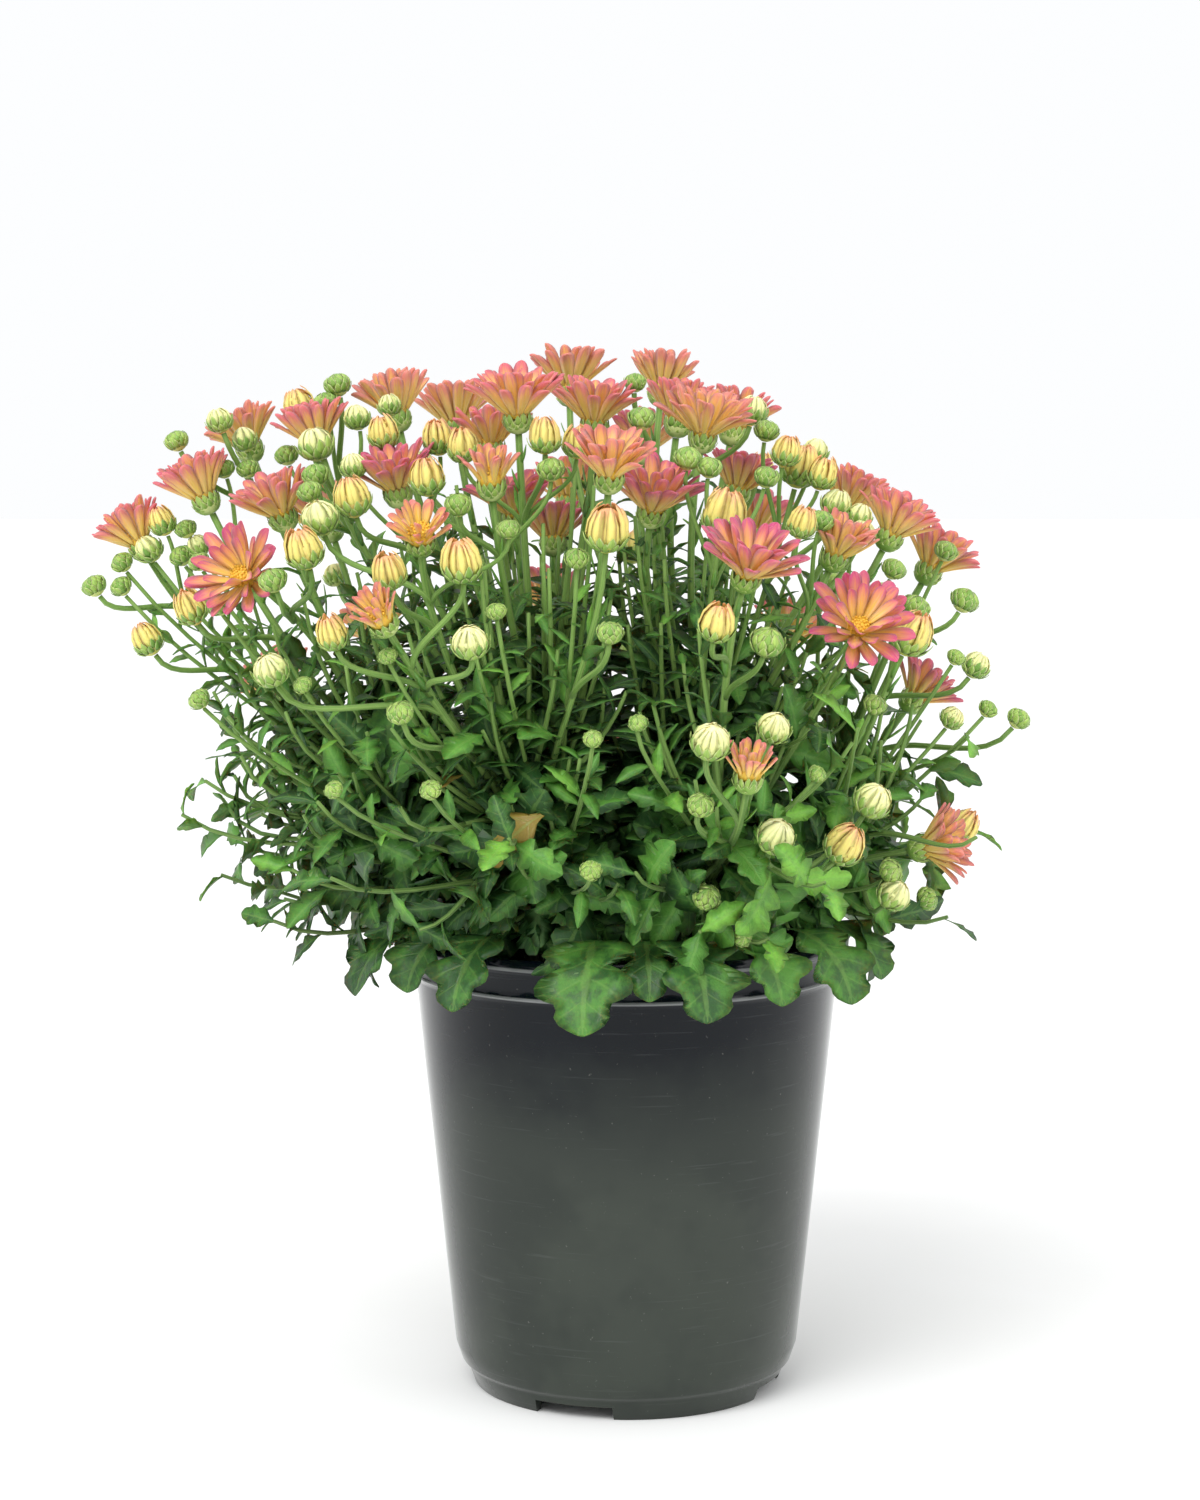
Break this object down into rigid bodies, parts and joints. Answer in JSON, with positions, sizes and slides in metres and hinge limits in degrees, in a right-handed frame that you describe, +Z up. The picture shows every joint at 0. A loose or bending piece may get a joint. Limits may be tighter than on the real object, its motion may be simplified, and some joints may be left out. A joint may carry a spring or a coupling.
{
  "type": "potted chrysanthemum",
  "caption": "Spray chrysanthemum in bloom, a round crown of coral and orange heads and green buds on leafy stems, rooted in soil in a round tapered nursery pot.",
  "frame": {"origin": "on the floor, under the middle of the whole plant and pot", "axes": "+Z up along the pot's axis, +X to the right and -Y towards the viewer of the picture"},
  "size_m": [0.356, 0.299, 0.393],
  "materials": {
    "pot": "satin",
    "soil": "matte",
    "foliage": "satin",
    "florets_coral": "matte",
    "florets_orange": "matte",
    "florets_magenta": "matte"
  },
  "bodies": {
    "root": {"pot": "pot", "soil": "soil", "stem_01": "foliage", "stem_02": "foliage", "stem_03": "foliage", "stem_04": "foliage", "stem_05": "foliage", "stem_06": "foliage", "stem_07": "foliage", "stem_08": "foliage", "stem_09": "foliage", "stem_10": "foliage", "stem_11": "foliage", "stem_12": "foliage", "bloom_01": "florets_coral", "bloom_02": "florets_coral", "bloom_03": "florets_orange", "bloom_04": "florets_magenta", "bloom_05": "florets_coral", "bloom_06": "florets_coral", "bloom_07": "florets_orange", "bloom_08": "florets_magenta", "bloom_09": "florets_orange", "bloom_10": "florets_orange", "bloom_11": "florets_coral", "bloom_12": "florets_magenta", "bloom_13": "florets_magenta", "bloom_14": "florets_orange", "bloom_15": "florets_coral", "bloom_16": "florets_coral", "bloom_17": "florets_orange", "bloom_18": "florets_magenta", "bloom_19": "florets_magenta", "bloom_20": "florets_orange", "bloom_21": "florets_orange", "bloom_22": "florets_coral", "bloom_23": "florets_coral", "bloom_24": "florets_magenta", "bloom_25": "florets_magenta", "bloom_26": "florets_orange", "bloom_27": "florets_coral", "bloom_28": "florets_coral", "bloom_29": "florets_coral", "bloom_30": "florets_magenta", "bloom_31": "florets_orange", "bloom_32": "florets_orange", "bloom_33": "florets_magenta", "bloom_34": "florets_orange", "bloom_35": "florets_orange", "bloom_36": "florets_coral", "bloom_37": "florets_orange", "bloom_38": "florets_magenta", "bloom_39": "florets_coral", "bloom_40": "florets_orange", "bloom_41": "florets_magenta", "bloom_42": "florets_coral", "bloom_43": "florets_orange", "bloom_44": "florets_magenta", "bloom_45": "florets_coral", "bloom_46": "florets_orange"}
  },
  "joints": []
}
